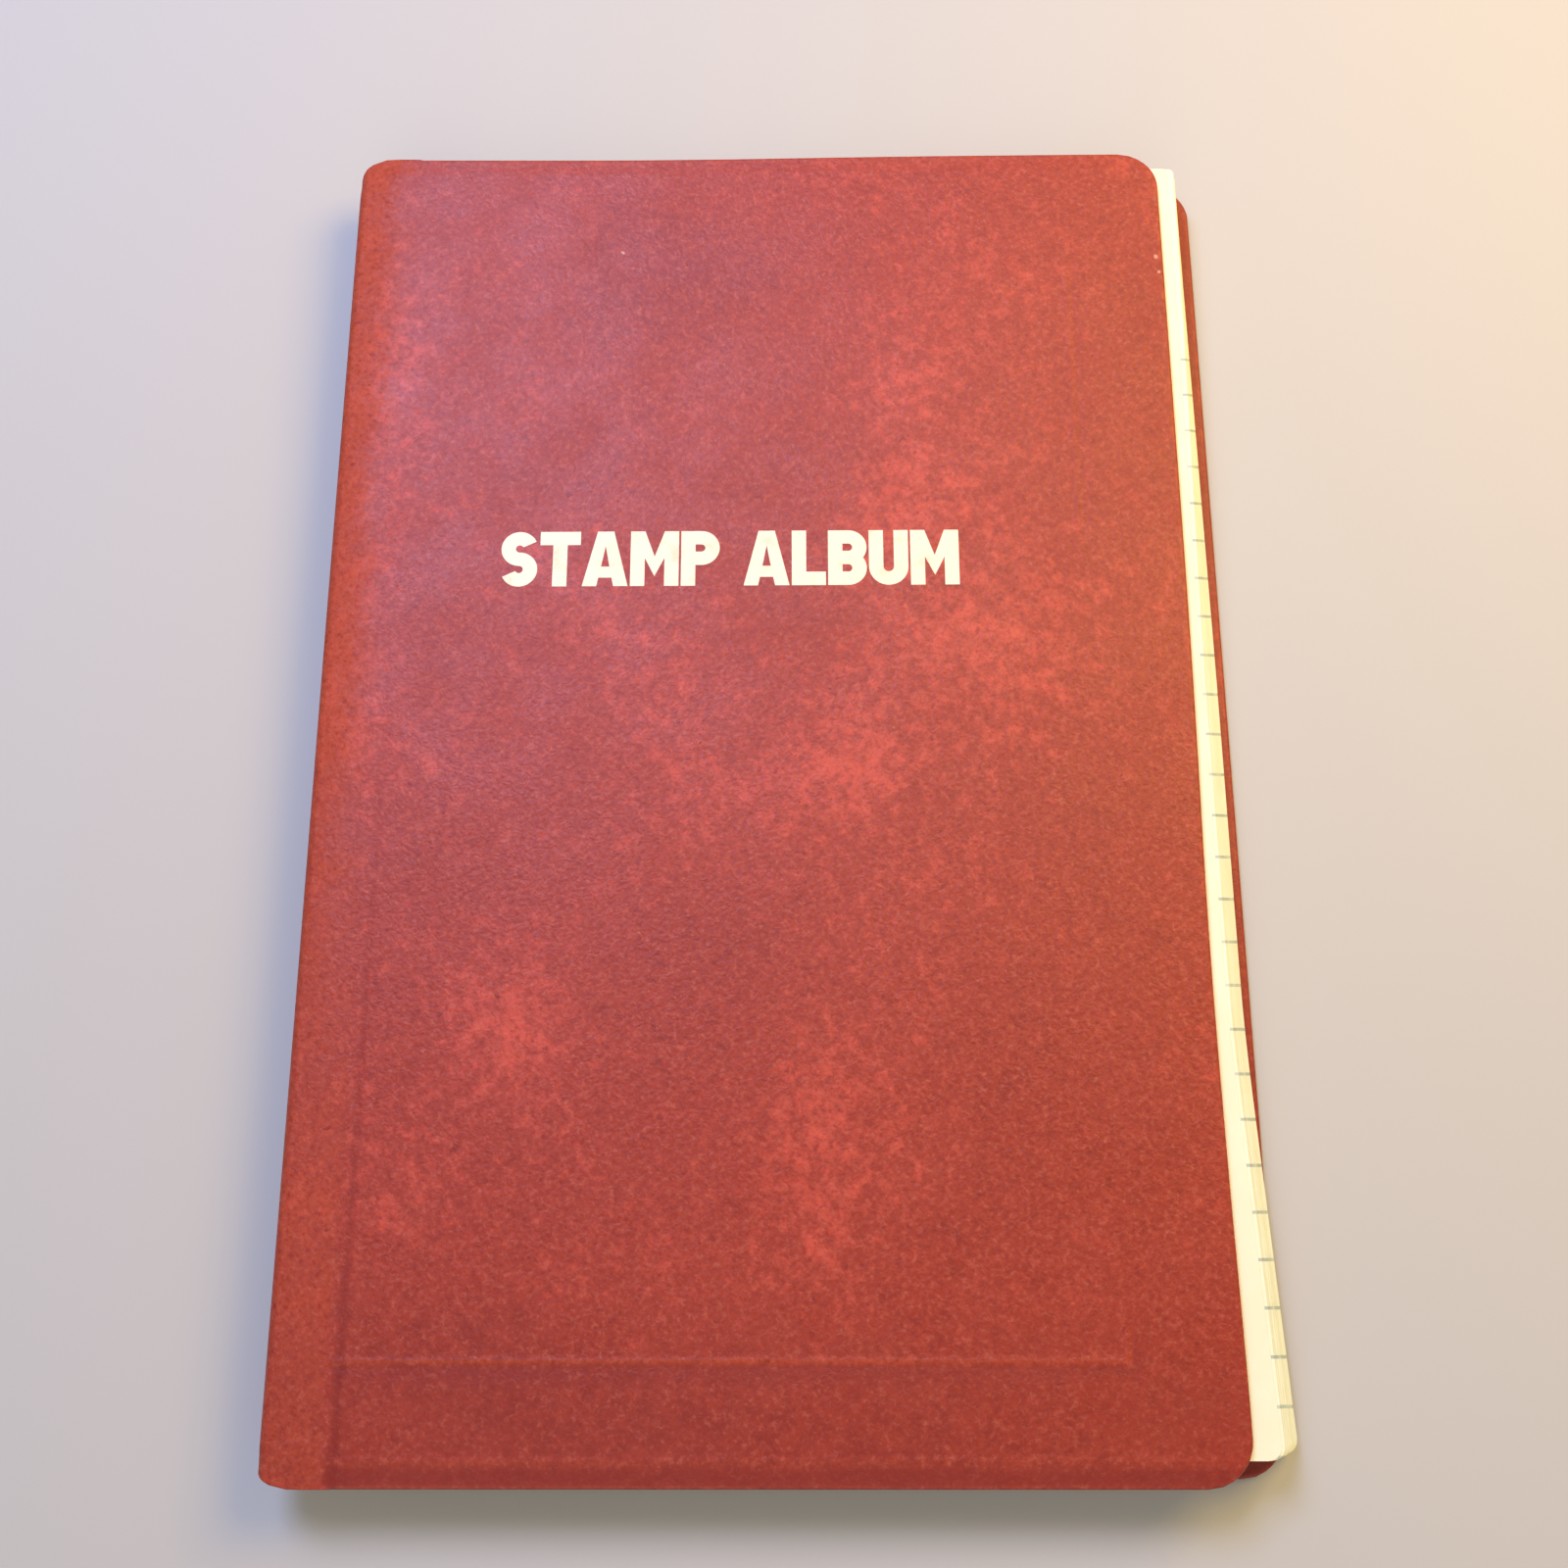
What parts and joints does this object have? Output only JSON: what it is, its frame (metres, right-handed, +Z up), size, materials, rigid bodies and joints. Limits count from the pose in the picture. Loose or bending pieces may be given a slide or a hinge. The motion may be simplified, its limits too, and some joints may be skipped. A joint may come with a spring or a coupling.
{
  "type": "stamp album",
  "caption": "Limp-bound album with flexible grained covers, rounded corners and sewn sections of ruled leaves; the covers open and the block parts in the middle.",
  "frame": {"origin": "middle of the closed album's footprint, on the surface that the back cover rests on", "axes": "+X from the spine to the fore-edge, +Y from the tail to the head, +Z up out of the front cover"},
  "size_m": [0.1396, 0.2032, 0.01],
  "materials": {
    "leathercloth": "red pebble-grain leathercloth, satin",
    "card": "grey flexible cover card",
    "endpaper": "plain cream endpaper",
    "leaf": "off-white ledger paper ruled in blue-grey",
    "thread": "waxed linen sewing thread",
    "mull": "open-weave glued cloth",
    "liner": "brown kraft spine paper",
    "foil": "pale cream pigment foil, slightly worn"
  },
  "bodies": {
    "section_8": {"section_8": "leaf", "thread_8": "thread", "back_flyleaf": "endpaper"},
    "section_7": {"section_7": "leaf", "thread_7": "thread"},
    "section_6": {"section_6": "leaf", "thread_6": "thread"},
    "section_5": {"section_5": "leaf", "thread_5": "thread", "spine_skin": "leathercloth", "spine_liner": "liner", "spine_mull": "mull"},
    "section_4": {"section_4": "leaf", "thread_4": "thread"},
    "section_3": {"section_3": "leaf", "thread_3": "thread"},
    "section_2": {"section_2": "leaf", "thread_2": "thread"},
    "section_1": {"section_1": "leaf", "thread_1": "thread", "front_flyleaf": "endpaper"},
    "front_cover": {"front_cover_skin": "leathercloth", "front_cover_card": "card", "front_pastedown": "endpaper", "title_foil": "foil"},
    "back_cover": {"back_cover_skin": "leathercloth", "back_cover_card": "card", "back_pastedown": "endpaper"}
  },
  "joints": [
    {"name": "section_7_fan", "type": "hinge", "parent": "section_8", "child": "section_7", "pos_m": [-0.06637, 0, 0.00234], "axis": [0, -1, 0], "range_deg": [0, 2]},
    {"name": "section_6_fan", "type": "hinge", "parent": "section_7", "child": "section_6", "pos_m": [-0.06695, 0, 0.00323], "axis": [0, -1, 0], "range_deg": [0, 2]},
    {"name": "section_5_fan", "type": "hinge", "parent": "section_6", "child": "section_5", "pos_m": [-0.06753, 0, 0.00411], "axis": [0, -1, 0], "range_deg": [0, 2]},
    {"name": "middle_opening", "type": "hinge", "parent": "section_5", "child": "section_4", "pos_m": [-0.06811, 0, 0.005], "axis": [0, -1, 0], "range_deg": [0, 168], "deforming": ["spine_skin", "spine_liner", "spine_mull"]},
    {"name": "section_3_fan", "type": "hinge", "parent": "section_4", "child": "section_3", "pos_m": [-0.06869, 0, 0.00588], "axis": [0, -1, 0], "range_deg": [0, 2]},
    {"name": "section_2_fan", "type": "hinge", "parent": "section_3", "child": "section_2", "pos_m": [-0.06927, 0, 0.00677], "axis": [0, -1, 0], "range_deg": [0, 2]},
    {"name": "section_1_fan", "type": "hinge", "parent": "section_2", "child": "section_1", "pos_m": [-0.06986, 0, 0.00766], "axis": [0, -1, 0], "range_deg": [0, 2]},
    {"name": "front_cover_hinge", "type": "hinge", "parent": "section_1", "child": "front_cover", "pos_m": [-0.06025, 0, 0.01005], "axis": [0, -1, 0], "range_deg": [0, 179]},
    {"name": "back_cover_hinge", "type": "hinge", "parent": "section_8", "child": "back_cover", "pos_m": [-0.05605, 0, -0.001], "axis": [0, 1, 0], "range_deg": [0, 179]}
  ],
  "couplings": [
    {"joint": "section_7_fan", "follows": "middle_opening", "ratio": 0.011905},
    {"joint": "section_6_fan", "follows": "middle_opening", "ratio": 0.011905},
    {"joint": "section_5_fan", "follows": "middle_opening", "ratio": 0.011905},
    {"joint": "section_3_fan", "follows": "middle_opening", "ratio": 0.011905},
    {"joint": "section_2_fan", "follows": "middle_opening", "ratio": 0.011905},
    {"joint": "section_1_fan", "follows": "middle_opening", "ratio": 0.011905}
  ]
}
